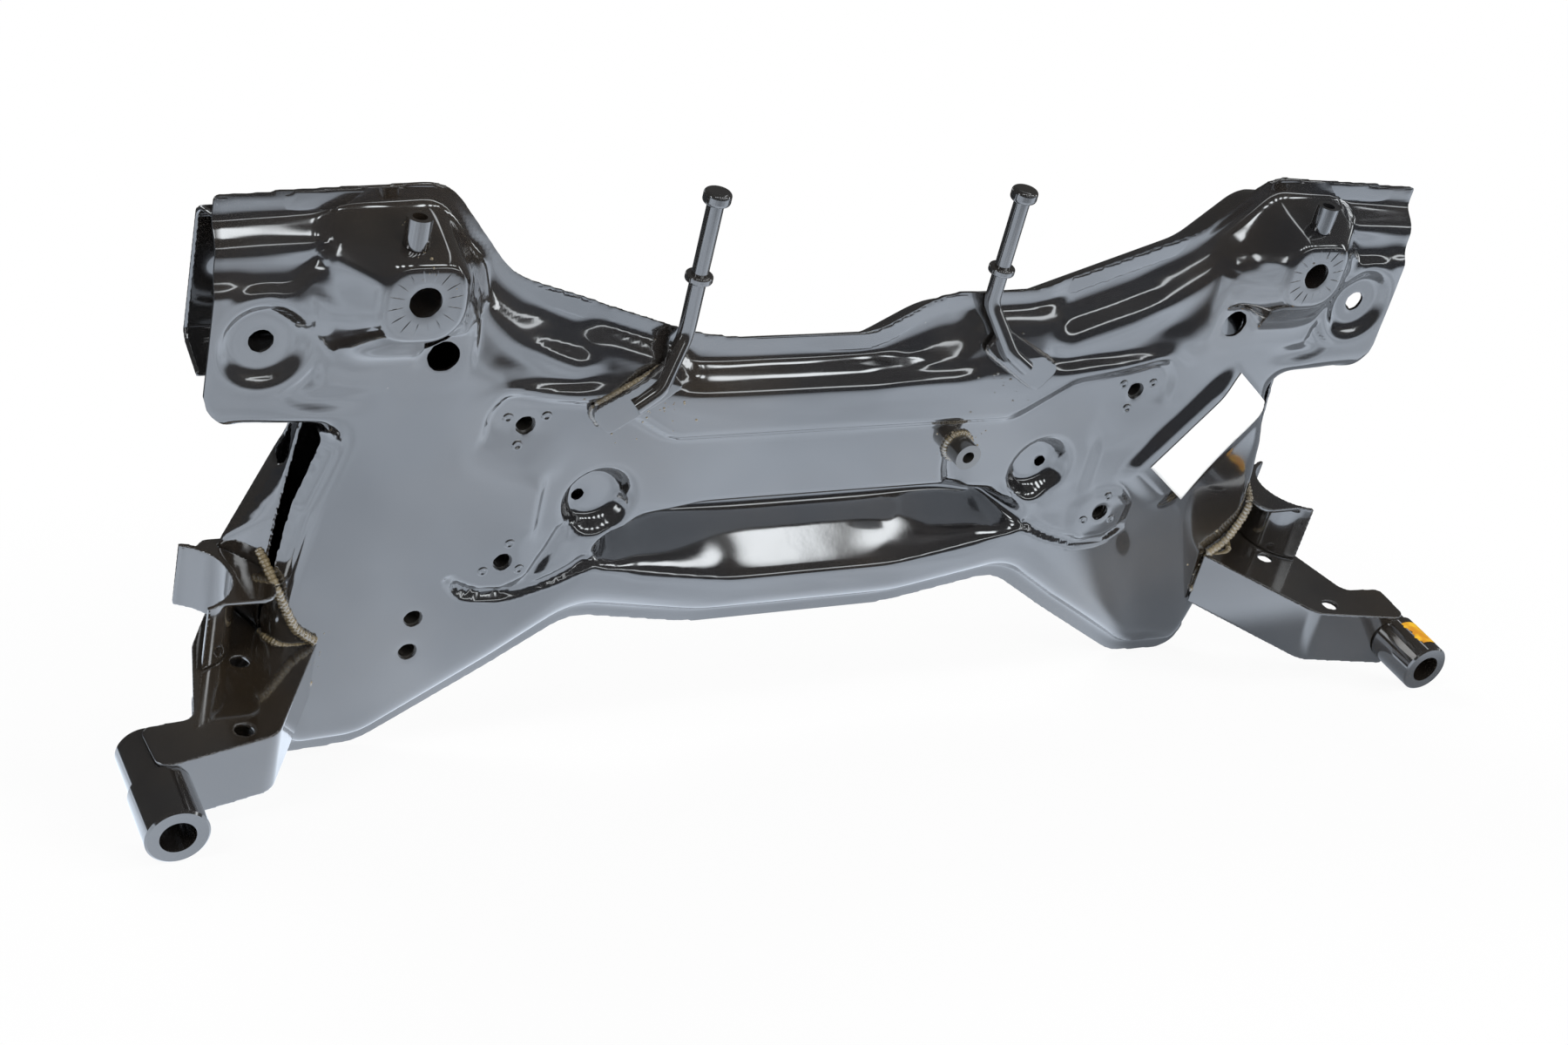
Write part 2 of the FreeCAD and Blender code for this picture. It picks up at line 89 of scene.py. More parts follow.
def table_fade(distance, near, beyond, near_value, beyond_value):
    """A value that changes with a distance on the table."""
    fade = nodes.new("ShaderNodeMapRange")
    fade.interpolation_type = "SMOOTHSTEP"
    fade.inputs["From Min"].default_value = near
    fade.inputs["From Max"].default_value = beyond
    fade.inputs["To Min"].default_value = near_value
    fade.inputs["To Max"].default_value = beyond_value
    links.new(distance, fade.inputs["Value"])
    return fade.outputs["Result"]


def table_math(operation, first, second):
    """Two values on the table put together by one operation."""
    step = nodes.new("ShaderNodeMath")
    step.operation = operation
    links.new(first, step.inputs[0])
    links.new(second, step.inputs[1])
    return step.outputs[0]


camera_share = table_math("MULTIPLY", rays.outputs["Is Camera Ray"],
                          table_fade(far.outputs["Value"], 0.40, 0.9, 0.93, 1.0))
share = table_math("MAXIMUM", camera_share, rays.outputs["Is Glossy Ray"])

# The camera sees plain white. Only the paint's mirror image shows what follows: a blue tint that is
# stronger than white, patches of painted light and shade, uneven like folds in cloth, and a fade to the
# front and the back. In the photo the right leg is twisted and looks dark. It isn't twisted here, so
# two patches of painted shade on the table, mirrored by the leg as a dark reflection, stand in for
# that. They are right from this camera alone: in other views they slide over the paint.
painted_light_patches_darkest, far_glow, painted_shade_level = 0.74, 0.05, 0.30
# Noise makes the mirrored glow uneven: patches of painted light and shade.
painted_light_patches = nodes.new("ShaderNodeTexNoise")
painted_light_patches.inputs["Scale"].default_value = 5.0
painted_light_patches.inputs["Detail"].default_value = 3.0
links.new(spot.outputs["Object"], painted_light_patches.inputs["Vector"])
uneven = table_fade(painted_light_patches.outputs["Fac"], 0.3, 0.7, painted_light_patches_darkest, 1.0)
# Painted shade: two dark patches under and beside the right leg, which the leg mirrors as a dark
# reflection.
painted_shade_under_leg = table_math("MULTIPLY", table_fade(ahead.outputs["X"], 0.262, 0.315, 0.0, 1.0),
                       table_fade(ahead.outputs["Y"], -0.066, -0.040, 0.0, 1.0))
painted_shade_beside_leg = table_math("MULTIPLY", table_fade(ahead.outputs["X"], 0.345, 0.385, 0.0, 1.0),
                        table_fade(ahead.outputs["Y"], -0.125, -0.085, 0.0, 1.0))
shade = table_fade(table_math("MAXIMUM", painted_shade_under_leg, painted_shade_beside_leg), 0.0, 1.0, 1.0, painted_shade_level)
lit = table_math("MULTIPLY", uneven, table_fade(out_front.outputs[0], 0.28, 0.56, 1.0, far_glow))
lit = table_math("MULTIPLY", lit, shade)
glow_strength = table_math("MAXIMUM", rays.outputs["Is Camera Ray"], lit)
cloth = nodes.new("ShaderNodeBsdfDiffuse")
cloth.inputs["Color"].default_value = (0.95, 0.95, 0.95, 1)
glow = nodes.new("ShaderNodeEmission")
links.new(glow_strength, glow.inputs["Strength"])
tint = nodes.new("ShaderNodeMix")
tint.data_type = "RGBA"
tint.inputs["A"].default_value = (1, 1, 1, 1)
tint.inputs["B"].default_value = (1.15, 1.28, 1.46, 1)
links.new(rays.outputs["Is Glossy Ray"], tint.inputs["Factor"])
links.new(tint.outputs["Result"], glow.inputs["Color"])
both = nodes.new("ShaderNodeMixShader")
links.new(share, both.inputs[0])
links.new(cloth.outputs[0], both.inputs[1])
links.new(glow.outputs[0], both.inputs[2])
out = nodes.new("ShaderNodeOutputMaterial")
links.new(both.outputs[0], out.inputs["Surface"])
table_mesh.materials.append(table_white)

room = bpy.data.worlds.new("room")
scene.world = room
room.use_nodes = True
nodes, links = room.node_tree.nodes, room.node_tree.links
nodes.clear()
direction = nodes.new("ShaderNodeTexCoord")
height = nodes.new("ShaderNodeSeparateXYZ")
links.new(direction.outputs["Generated"], height.inputs[0])
fade = nodes.new("ShaderNodeMapRange")
fade.inputs["From Min"].default_value = -0.30
fade.inputs["From Max"].default_value = -0.05
fade.inputs["To Min"].default_value = 0.9
fade.inputs["To Max"].default_value = 0.06
fade.interpolation_type = "SMOOTHSTEP"
links.new(height.outputs["Z"], fade.inputs["Value"])
rays = nodes.new("ShaderNodeLightPath")
shown = nodes.new("ShaderNodeMath")
shown.operation = "MAXIMUM"
links.new(rays.outputs["Is Camera Ray"], shown.inputs[0])
links.new(rays.outputs["Is Transmission Ray"], shown.inputs[1])
strength = nodes.new("ShaderNodeMath")
strength.operation = "MAXIMUM"
links.new(fade.outputs["Result"], strength.inputs[0])
links.new(shown.outputs[0], strength.inputs[1])
background = nodes.new("ShaderNodeBackground")
background.inputs["Color"].default_value = (1, 1, 1, 1)
links.new(strength.outputs[0], background.inputs["Strength"])
out = nodes.new("ShaderNodeOutputWorld")
links.new(background.outputs[0], out.inputs["Surface"])


def glow_card(name, place, width, length, strength):
    """A glowing card that faces the part, brightest in its middle; only the paint mirrors it."""
    mesh = bpy.data.meshes.new(name)
    mesh.from_pydata([(-1, -1, 0), (1, -1, 0), (1, 1, 0), (-1, 1, 0)], [], [(0, 1, 2, 3)])
    card = bpy.data.objects.new(name, mesh)
    card.location = place
    card.rotation_euler = (Vector((0, 0, 0.2)) - Vector(place)).to_track_quat("Z", "Y").to_euler()
    card.scale = (width / 2, length / 2, 1)
    card.visible_camera = card.visible_diffuse = card.visible_shadow = False
    scene.collection.objects.link(card)
    film = bpy.data.materials.new(name)
    film.use_nodes = True
    nodes, links = film.node_tree.nodes, film.node_tree.links
    nodes.clear()
    place_on_card = nodes.new("ShaderNodeTexCoord")
    edge = nodes.new("ShaderNodeTexGradient")
    edge.gradient_type = "SPHERICAL"
    links.new(place_on_card.outputs["Object"], edge.inputs["Vector"])
    soften = nodes.new("ShaderNodeMapRange")
    soften.interpolation_type = "SMOOTHSTEP"
    soften.inputs["From Min"].default_value = 0.0
    soften.inputs["From Max"].default_value = 0.55
    soften.inputs["To Max"].default_value = strength
    links.new(edge.outputs["Fac"], soften.inputs["Value"])
    shine = nodes.new("ShaderNodeEmission")
    shine.inputs["Color"].default_value = (0.93, 0.97, 1.0, 1)
    links.new(soften.outputs["Result"], shine.inputs["Strength"])
    out = nodes.new("ShaderNodeOutputMaterial")
    links.new(shine.outputs[0], out.inputs["Surface"])
    mesh.materials.append(film)


for number, place in enumerate((-1.25, -0.6, 0.05, 0.7, 1.35, 2.0, 2.65)):
    glow_card("card_front_%d" % number, (place, -1.9, 1.95), 0.42, 0.66, 3.8)
glow_card("card_over", (1.4, -0.1, 2.6), 3.4, 0.30, 1.6)
glow_card("card_low", (1.4, -2.4, 0.55), 6.0, 0.28, 2.2)
glow_card("card_left", (-2.7, -0.9, 0.9), 0.5, 1.8, 3.0)
glow_card("card_right", (2.9, -0.7, 0.9), 0.5, 1.8, 3.0)
glow_card("card_back", (-0.6, 2.3, 1.1), 2.0, 0.40, 1.6)
for name, place, power in (("fill_left", (-2.2, -1.6, 2.2), 46), ("fill_right", (2.4, -1.2, 2.2), 46),
                           ("fill_back", (0, 2.4, 2.0), 46), ("fill_front", (0.6, -2.4, 0.7), 48)):
    lamp_data = bpy.data.lights.new(name, "AREA")
    lamp_data.size = 1.5
    lamp_data.energy = power
    lamp = bpy.data.objects.new(name, lamp_data)
    lamp.location = place
    lamp.rotation_euler = (Vector((0, 0, 0.2)) - Vector(place)).to_track_quat("-Z", "Y").to_euler()
    lamp.visible_glossy = False
    scene.collection.objects.link(lamp)

# The whole part. It is drawn as it sits in the car, x across, y to the rear and z up, in
# millimetres, and it stands on its legs and on the collars of its sleeves, leaning by this angle.
lean = math.radians(21.781)
stand = Matrix.Translation((0, 0.062317, 0.114502)) @ Matrix.Rotation(math.pi / 2 + lean, 4, "X")
stand = stand @ Matrix.Scale(0.001, 4)
lie = stand.inverted()


def node_skin(name):
    """A node's surface in the car's frame, to drop points onto."""
    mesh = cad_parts[name].data
    points = [lie @ vertex.co for vertex in mesh.vertices]
    return BVHTree.FromPolygons(points, [tuple(face.vertices) for face in mesh.polygons])


def new_piece(name, points, faces, material, sharp=None):
    """A piece in the row's frame from points in the car's frame."""
    mesh = bpy.data.meshes.new(name)
    mesh.from_pydata([stand @ Vector(point) for point in points], [], faces)
    mesh.validate()
    mesh.materials.append(material)
    piece = bpy.data.objects.new(name, mesh)
    scene.collection.objects.link(piece)
    mesh.shade_smooth()
    if sharp:
        mesh.set_sharp_from_angle(angle=math.radians(sharp))
    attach(piece, "root")
    return piece


# Gloss black paint over pressed steel. It is dipped, so it flows into a faint orange peel, is a
# little brown where it is thin, and holds fine dust specks.
def socket(group, name, way, kind, value=None):
    """A named socket of a node group, going in or out."""
    made = group.interface.new_socket(name=name, in_out=way, socket_type="NodeSocket" + kind)
    if value is not None:
        made.default_value = value


dip_coat = bpy.data.node_groups.new("dip_coat", "ShaderNodeTree")
socket(dip_coat, "Paint", "INPUT", "Color", (0.015, 0.015, 0.016, 1))
socket(dip_coat, "Thin Paint", "INPUT", "Color", (0.03, 0.022, 0.015, 1))
socket(dip_coat, "Dust", "INPUT", "Color", (0.25, 0.25, 0.24, 1))
socket(dip_coat, "Gloss Roughness", "INPUT", "Float", 0.1)
socket(dip_coat, "Peel", "INPUT", "Float", 0.3)
socket(dip_coat, "Color", "OUTPUT", "Color")
socket(dip_coat, "Roughness", "OUTPUT", "Float")
socket(dip_coat, "Height", "OUTPUT", "Float")
nodes, links = dip_coat.nodes, dip_coat.links
given = nodes.new("NodeGroupInput")
put = nodes.new("NodeGroupOutput")
where = nodes.new("ShaderNodeTexCoord")


def noise(scale, detail=2.0):
    """Soft noise through the part, in the node tree being made."""
    texture = nodes.new("ShaderNodeTexNoise")
    texture.inputs["Scale"].default_value = scale
    texture.inputs["Detail"].default_value = detail
    links.new(where.outputs["Object"], texture.inputs["Vector"])
    return texture.outputs["Fac"]


def ranged(source, low, high, to_low=0.0, to_high=1.0):
    """A value moved from one range into another, in the node tree being made."""
    ramp = nodes.new("ShaderNodeMapRange")
    ramp.inputs["From Min"].default_value = low
    ramp.inputs["From Max"].default_value = high
    ramp.inputs["To Min"].default_value = to_low
    ramp.inputs["To Max"].default_value = to_high
    links.new(source, ramp.inputs["Value"])
    return ramp.outputs["Result"]


def math_of(operation, first, second):
    """Two values or numbers put together, in the node tree being made."""
    step = nodes.new("ShaderNodeMath")
    step.operation = operation
    for slot_index, value in enumerate((first, second)):
        if isinstance(value, float):
            step.inputs[slot_index].default_value = value
        else:
            links.new(value, step.inputs[slot_index])
    return step.outputs[0]


def mixed(share_of_second, first, second):
    """Two colours mixed, in the node tree being made."""
    blend = nodes.new("ShaderNodeMix")
    blend.data_type = "RGBA"
    links.new(share_of_second, blend.inputs["Factor"])
    links.new(first, blend.inputs["A"])
    links.new(second, blend.inputs["B"])
    return blend.outputs["Result"]


thin = ranged(noise(7.0, 4.0), 0.45, 0.7)
coat_color = mixed(thin, given.outputs["Paint"], given.outputs["Thin Paint"])
specks = nodes.new("ShaderNodeTexVoronoi")
specks.inputs["Scale"].default_value = 160.0
links.new(where.outputs["Object"], specks.inputs["Vector"])
speck_mask = math_of("MULTIPLY", ranged(specks.outputs["Distance"], 0.07, 0.04),
                     ranged(noise(22.0), 0.66, 0.76))
coat_color = mixed(speck_mask, coat_color, given.outputs["Dust"])
film = ranged(noise(9.0, 6.0), 0.5, 0.8, 0.0, 0.07)
coat_color = mixed(film, coat_color, given.outputs["Dust"])
links.new(coat_color, put.inputs["Color"])
smear = ranged(noise(12.0, 5.0), 0.35, 0.75, 0.0, 0.10)
links.new(math_of("ADD", given.outputs["Gloss Roughness"], smear), put.inputs["Roughness"])
peel = math_of("MULTIPLY", noise(260.0, 1.0), given.outputs["Peel"])
dents = math_of("MULTIPLY", noise(34.0, 1.0), 2.0)
relief = math_of("ADD", math_of("ADD", peel, dents), math_of("MULTIPLY", speck_mask, 0.6))
links.new(relief, put.inputs["Height"])


def painted(name, paint, thin_paint, roughness, peel_height, bump=0.00012):
    """A paint finish with its own colours and gloss."""
    material = bpy.data.materials.new(name)
    material.use_nodes = True
    tree = material.node_tree
    surface = tree.nodes["Principled BSDF"]
    coat = tree.nodes.new("ShaderNodeGroup")
    coat.node_tree = dip_coat
    coat.inputs["Paint"].default_value = (*paint, 1)
    coat.inputs["Thin Paint"].default_value = (*thin_paint, 1)
    coat.inputs["Gloss Roughness"].default_value = roughness
    coat.inputs["Peel"].default_value = peel_height
    relief = tree.nodes.new("ShaderNodeBump")
    relief.inputs["Distance"].default_value = bump
    relief.inputs["Strength"].default_value = 1.0
    tree.links.new(coat.outputs["Height"], relief.inputs["Height"])
    tree.links.new(coat.outputs["Color"], surface.inputs["Base Color"])
    tree.links.new(coat.outputs["Roughness"], surface.inputs["Roughness"])
    tree.links.new(relief.outputs["Normal"], surface.inputs["Normal"])
    surface.inputs["IOR"].default_value = 2.1
    surface.inputs["Coat Weight"].default_value = 1.0
    surface.inputs["Coat IOR"].default_value = 2.0
    surface.inputs["Coat Roughness"].default_value = 0.05
    return material


gloss_black = painted("gloss_black_paint", (0.012, 0.012, 0.013), (0.024, 0.018, 0.012), 0.08, 0.12)

# Upper panel. One sheet of steel is drawn into the deck, its trough and its rolled walls, and the
# bolt holes are punched after that, so each bend is round and each hole's edge sinks a little.
fine, coarse = 0.8, 2.4
deck_z, seam_z = 47.0, 29.0
cone_x, cone_y = 300.0, 219.0
dish_x, dish_y = 374.0, 180.5
locating_x, locating_y = 273.0, 169.5
foot_right_x, foot_left_x = 110.0, -146.0
west, east, south, north = -404.4, 404.4, -121.6, 264.0
across = np.arange(west, east, fine)
along = np.arange(south, north, fine)
skin = node_skin("upper_panel")
level = np.full((len(along), len(across)), np.nan)
for row, y in enumerate(along):
    for column, x in enumerate(across):
        hit = skin.ray_cast((x, y, 120.0), (0, 0, -1))[0]
        if hit is not None:
            level[row, column] = hit.z


def blurred(field, sigma_along, sigma_across=None):
    """A field spread by a bell curve of sigma cells each way."""
    for axis, sigma in ((0, sigma_along), (1, sigma_across or sigma_along)):
        half = int(3 * sigma) + 1
        bell = np.exp(-0.5 * (np.arange(-half, half + 1) / sigma) ** 2)
        bell /= bell.sum()
        margin = ((half, half), (0, 0)) if axis == 0 else ((0, 0), (half, half))
        field = np.apply_along_axis(np.convolve, axis, np.pad(field, margin, mode="edge"), bell, "valid")
    return field


there = (~np.isnan(level)).astype(float)
known = np.nan_to_num(level)
filled = known.copy()
for spread in (1.5, 4.0, 10.0):
    weight = blurred(there, spread)
    near = blurred(known * there, spread) / np.maximum(weight, 1e-9)
    empty = (there == 0) & (weight > 1e-3) & (filled == 0)
    filled[empty] = near[empty]
bend_radius = 2.0
drawn = blurred(filled, bend_radius / fine)
X, Y = np.meshgrid(across, along)


def smooth_step(value, low, high):
    """0 below low, 1 above high and a soft rise between them."""
    part = np.clip((value - low) / (high - low), 0, 1)
    return part * part * (3 - 2 * part)


# Softer draws round the cones of the rear mounts, at the gear nuts and along the trough, and a flat
# ring round each locating hole.
soft, softest = blurred(filled, 7.0 / fine), blurred(filled, 12.0 / fine)
for side in (1, -1):
    away = np.hypot(X - side * cone_x, Y - cone_y)
    share = smooth_step(away, 24.0, 36.0) * (1 - smooth_step(away, 78.0, 96.0))
    share = share * (1 - smooth_step(Y, 216.0, 232.0))
    share = share * smooth_step(np.hypot(X - side * dish_x, Y - dish_y), 30.0, 40.0)
    drawn = drawn * (1 - share) + soft * share
    foot = np.hypot(X - side * 352.0, (Y - 203.0) * 1.6)
    drawn = drawn + 1.5 * (1 - smooth_step(foot, 4.0, 22.0))
for softer, inner, outer, front, rear in (
        (softest, (176.0, 196.0), (240.0, 256.0), (74.0, 90.0), (106.0, 122.0)),
        (soft, (160.0, 172.0), (236.0, 250.0), (0.0, 12.0), (38.0, 50.0))):
    for side in (1, -1):
        share = smooth_step(X * side, *inner) * (1 - smooth_step(X * side, *outer))
        share = share * smooth_step(Y, *front) * (1 - smooth_step(Y, *rear))
        drawn = drawn * (1 - share) + softer * share
softer = blurred(filled, 3.5 / fine, 15.0 / fine)
share = smooth_step(Y, -2.0, 10.0) * (1 - smooth_step(Y, 44.0, 60.0))
share = share * (1 - smooth_step(abs(X), 120.0, 140.0))
drawn = drawn * (1 - share) + softer * share
for side in (1, -1):
    share = 1 - smooth_step(np.hypot(X - side * locating_x, Y - locating_y), 12.0, 20.0)
    drawn = drawn * (1 - share) + deck_z * share

# The rolled wall behind the deck. It starts sooner between the mounts, falls straighter than the
# solid's and carries faint rolls, but stays calm at the cones, the dishes and the hangers' straps.
depth = np.clip((deck_z - drawn) / (deck_z - seam_z), 0, 1)
behind = smooth_step(Y, 134.0, 150.0) * smooth_step(filled, seam_z - 2, seam_z)
from_cone = np.minimum(np.hypot(X - cone_x, Y - cone_y), np.hypot(X + cone_x, Y - cone_y))
from_dish = np.minimum(np.hypot(X - dish_x, Y - dish_y), np.hypot(X + dish_x, Y - dish_y))
cone = smooth_step(from_cone, 30.0, 56.0)
dish = smooth_step(from_dish, 28.0, 34.0)
feet = smooth_step(np.minimum(abs(X - foot_right_x), abs(X - foot_left_x)), 18.0, 44.0)
sooner = int(13.0 / fine)
ahead_of = np.vstack([drawn[sooner:], np.repeat(drawn[-1:], sooner, axis=0)])
middle = 1 - smooth_step(abs(X), 190.0, 250.0)
early = behind * middle * (0.25 + 0.75 * feet) * (1 - depth)
drawn = drawn - 0.8 * early * np.clip(drawn - ahead_of, 0, 6)
depth = np.clip((deck_z - drawn) / (deck_z - seam_z), 0, 1)
straight = np.sqrt(1 - (1 - depth) ** 2)
firm = behind * cone * dish * (0.30 + 0.45 * feet)
drawn = drawn - (deck_z - seam_z) * firm * (straight - depth)
depth = np.clip((deck_z - drawn) / (deck_z - seam_z), 0, 1)
rolls = 0.115 + 0.028 * np.sin(X / 27.0 + 1.2) + 0.014 * np.sin(X / 11.0 + 1.0)
rolls = rolls * behind * cone * dish * (0.3 + 0.7 * feet)
drawn = drawn - (deck_z - seam_z) * rolls * np.sin(2 * math.pi * 1.5 * depth) * (depth < 1)


def groove(route, half_width, deep):
    """How far a pressed groove sinks along a route of points."""
    nearest = np.full(X.shape, 1e9)
    for (x1, y1), (x2, y2) in zip(route, route[1:]):
        run = (x2 - x1) ** 2 + (y2 - y1) ** 2
        part = np.clip(((X - x1) * (x2 - x1) + (Y - y1) * (y2 - y1)) / run, 0, 1)
        away = np.hypot(X - x1 - part * (x2 - x1), Y - y1 - part * (y2 - y1))
        nearest = np.minimum(nearest, away)
    return deep * (1 - smooth_step(nearest, half_width * 0.2, half_width))


# Grooves in front of the gear nuts, the gutter from the boss to the trough, and one by the left lip.
for side in (1, -1):
    route = [(side * 240, 11), (side * 226, 5), (side * 205, 3), (side * 180, 11), (side * 160, 20)]
    drawn = drawn - groove(route, 5.0, 3.0)
drawn = drawn - groove([(86, 84), (89, 68), (96, 50)], 10.0, 5.0)
drawn = drawn - groove([(-246, 16), (-236, 6), (-214, 4), (-196, 12), (-184, 30), (-178, 44)], 5.5, 2.6)

# The raised pad under the label, and the right leg's shallow dish, nut pad and turned-down side.
label_along, label_across = (0.62, 0.785), (0.785, -0.62)
label_start = (239.8, 64.6)
forth = (X - label_start[0]) * label_along[0] + (Y - label_start[1]) * label_along[1]
aside = (X - label_start[0]) * label_across[0] + (Y - label_start[1]) * label_across[1]
label_pad = smooth_step(aside, -16.0, -4.0) * (1 - smooth_step(aside, 30.0, 52.0))
label_pad = label_pad * smooth_step(forth, -24.0, -6.0) * (1 - smooth_step(forth, 62.0, 92.0))
drawn = drawn + 6.0 * label_pad
saddle = (X - 262.0) * 0.93 + Y * 0.36
low_end = 1 - smooth_step(Y, -6.0, 42.0)
drawn = drawn - 7.0 * np.exp(-(saddle / 22.0) ** 2) * low_end * smooth_step(filled, 40.0, 46.5)
from_nut = np.maximum(abs(X - 216.0) - 10.0, 0) + np.maximum(abs(Y - 24.0) - 8.0, 0)
nut_pad = 1 - smooth_step(from_nut, 8.0, 16.0)
drawn = drawn + 1.6 * nut_pad * (X > 0)
turn_down = smooth_step(saddle, 26.0, 60.0)
drawn = drawn - 3.0 * turn_down * low_end * smooth_step(X, 240.0, 280.0) * smooth_step(filled, 40.0, 46.5)

# The field becomes a coarser sheet, cut along its edges and holes, with a slight sink at each edge.
sheet_there = blurred(there, 1.3)
step = int(round(coarse / fine))
drawn = drawn[::step, ::step]
sheet_there = sheet_there[::step, ::step]
drawn = drawn - 1.2 * np.clip(1 - sheet_there, 0, 0.5) ** 1.5
across, along = across[::step], along[::step]
points, faces, corner_of, edge_of = [], [], {}, {}


def grid_corner(row, column):
    """The number of the point at a corner of the grid."""
    key = (row, column)
    if key not in corner_of:
        corner_of[key] = len(points)
        points.append((across[column], along[row], drawn[row, column]))
    return corner_of[key]


def grid_edge(first, second):
    """The number of the point where the sheet's edge crosses between two corners."""
    key = (min(first, second), max(first, second))
    if key not in edge_of:
        a, b = sheet_there[key[0]] - 0.5, sheet_there[key[1]] - 0.5
        part = a / (a - b)
        part = min(max(part, 0.08), 0.92)
        edge_of[key] = len(points)
        points.append(tuple(u + (v - u) * part for u, v in zip(
            (across[key[0][1]], along[key[0][0]], drawn[key[0]]),
            (across[key[1][1]], along[key[1][0]], drawn[key[1]]))))
    return edge_of[key]


for row in range(len(along) - 1):
    for column in range(len(across) - 1):
        ring = [(row, column), (row, column + 1), (row + 1, column + 1), (row + 1, column)]
        inside = [sheet_there[corner] >= 0.5 for corner in ring]
        if not any(inside):
            continue
        face = []
        for index in range(4):
            follows = (index + 1) % 4
            if inside[index]:
                face.append(grid_corner(*ring[index]))
            if inside[index] != inside[follows]:
                face.append(grid_edge(ring[index], ring[follows]))
        faces.append(tuple(face))
upper = new_piece("upper_panel_skin", points, faces, gloss_black)
thick = upper.modifiers.new("sheet", "SOLIDIFY")
thick.thickness = 0.0024
thick.offset = -1.0
thick.use_quality_normals = True
bpy.context.view_layer.objects.active = upper
with bpy.context.temp_override(object=upper, active_object=upper, selected_objects=[upper]):
    bpy.ops.object.modifier_apply(modifier="sheet")
upper.data.shade_smooth()
upper.data.set_sharp_from_angle(angle=math.radians(50))
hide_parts("upper_panel")


def on_skin(x, y):
    """The height of the drawn panel at a place."""
    column = (x - across[0]) / coarse
    row = (y - along[0]) / coarse
    left, low = int(column), int(row)
    u, v = column - left, row - low
    return ((drawn[low, left] * (1 - u) + drawn[low, left + 1] * u) * (1 - v)
            + (drawn[low + 1, left] * (1 - u) + drawn[low + 1, left + 1] * u) * v)


# Marks of the press. Three small dimples round each steering gear nut press it home, and a star of
# fine stake lines round each rear mount's hole holds the tube below it.
around, dimple_out = 24, 13.0
points, faces = [], []
for side in (1, -1):
    for centre, turns in (((214.5, 119.4), (155, 24, 254)), ((214.5, 27.5), (205, 331, 81))):
        for turn in turns:
            x = side * centre[0] + dimple_out * math.cos(math.radians(turn))
            y = centre[1] + dimple_out * math.sin(math.radians(turn))
            first = len(points)
            rings = ((3.4, -0.02), (2.9, 0.55), (2.3, 0.80), (1.7, 0.55), (1.2, 0.15), (0.5, 0.05))
            for radius, rise in rings:
                for index in range(around):
                    angle = 2 * math.pi * index / around
                    u, v = x + radius * math.cos(angle), y + radius * math.sin(angle)
                    points.append((u, v, on_skin(u, v) + rise))
            for ring in range(len(rings) - 1):
                start = first + ring * around
                for index in range(around):
                    a, b = start + index, start + (index + 1) % around
                    faces.append((a, b, b + around, a + around))
            faces.append(tuple(first + (len(rings) - 1) * around + index for index in range(around)))
new_piece("press_dimples", points, faces, gloss_black)

points, faces = [], []
for side in (1, -1):
    for index in range(16):
        turn = 2 * math.pi * (index + 0.5) / 16
        out_x, out_y = math.cos(turn), math.sin(turn)
        first = len(points)
        for reach_out in np.linspace(12.6, 20.6, 7):
            swell = 0.9 * math.sin(math.pi * (reach_out - 12.1) / 9.0) ** 0.5
            for shift, rise in ((-0.55, -0.05), (-0.22, 0.42), (0.22, 0.42), (0.55, -0.05)):
                x = side * cone_x + out_x * reach_out - out_y * shift * swell
                y = cone_y + out_y * reach_out + out_x * shift * swell
                points.append((x, y, on_skin(x, y) + rise * swell))
        for part in range(6):
            for edge in range(3):
                a = first + part * 4 + edge
                faces.append((a, a + 4, a + 5, a + 1))
new_piece("stake_lines", points, faces, gloss_black)

# Paint mark. A brush dab of yellow paint on the right sleeve's collar shows that the part was
# checked; its edges are ragged and it runs thin to orange at one end.
mark_paint = bpy.data.materials.new("paint_mark")
mark_paint.use_nodes = True
tree = mark_paint.node_tree
nodes, links = tree.nodes, tree.links
where = nodes.new("ShaderNodeTexCoord")
full = nodes.new("ShaderNodeRGB")
full.outputs[0].default_value = (0.86, 0.50, 0.03, 1)
thin_dab = nodes.new("ShaderNodeRGB")
thin_dab.outputs[0].default_value = (0.62, 0.26, 0.02, 1)
links.new(mixed(ranged(noise(110.0), 0.4, 0.6), full.outputs[0], thin_dab.outputs[0]),
          nodes["Principled BSDF"].inputs["Base Color"])
links.new(ranged(noise(240.0), 0.3, 0.7, 0.30, 0.55), nodes["Principled BSDF"].inputs["Roughness"])
points, faces = [], []
mark_rows, mark_columns = 20, 24
sleeve_x, sleeve_y = 432.3, -36.7
for row in range(mark_rows + 1):
    for column in range(mark_columns + 1):
        part = row / mark_rows
        ragged = 1.8 * math.sin(part * 11.0) + 1.4 * math.sin(part * 37.0 + 1.0)
        angle = math.radians(58.0 + ragged * 0.5 + (46.0 + ragged) * column / mark_columns)
        spread = 17.55 + 0.12 * math.sin(math.pi * column / mark_columns)
        points.append((sleeve_x + spread * math.cos(angle), sleeve_y + spread * math.sin(angle),
                       143.0 + 23.0 * part))
for row in range(mark_rows):
    for column in range(mark_columns):
        a = row * (mark_columns + 1) + column
        faces.append((a, a + 1, a + mark_columns + 2, a + mark_columns + 1))
new_piece("yellow_paint_mark", points, faces, mark_paint)


# Weld beads. A robot lays each one in small overlapping drops of steel, and the dip leaves the paint
# on them thinner and rougher, with spatter beside them. Where the paint is thin, beads and spatter
# turn a light golden brown: partly the thin brown dip, partly a painted highlight that lightens them.
weld_paint_and_highlight = painted("painted_weld", (0.05, 0.042, 0.032), (0.26, 0.20, 0.10), 0.16, 1.2, 0.0003)


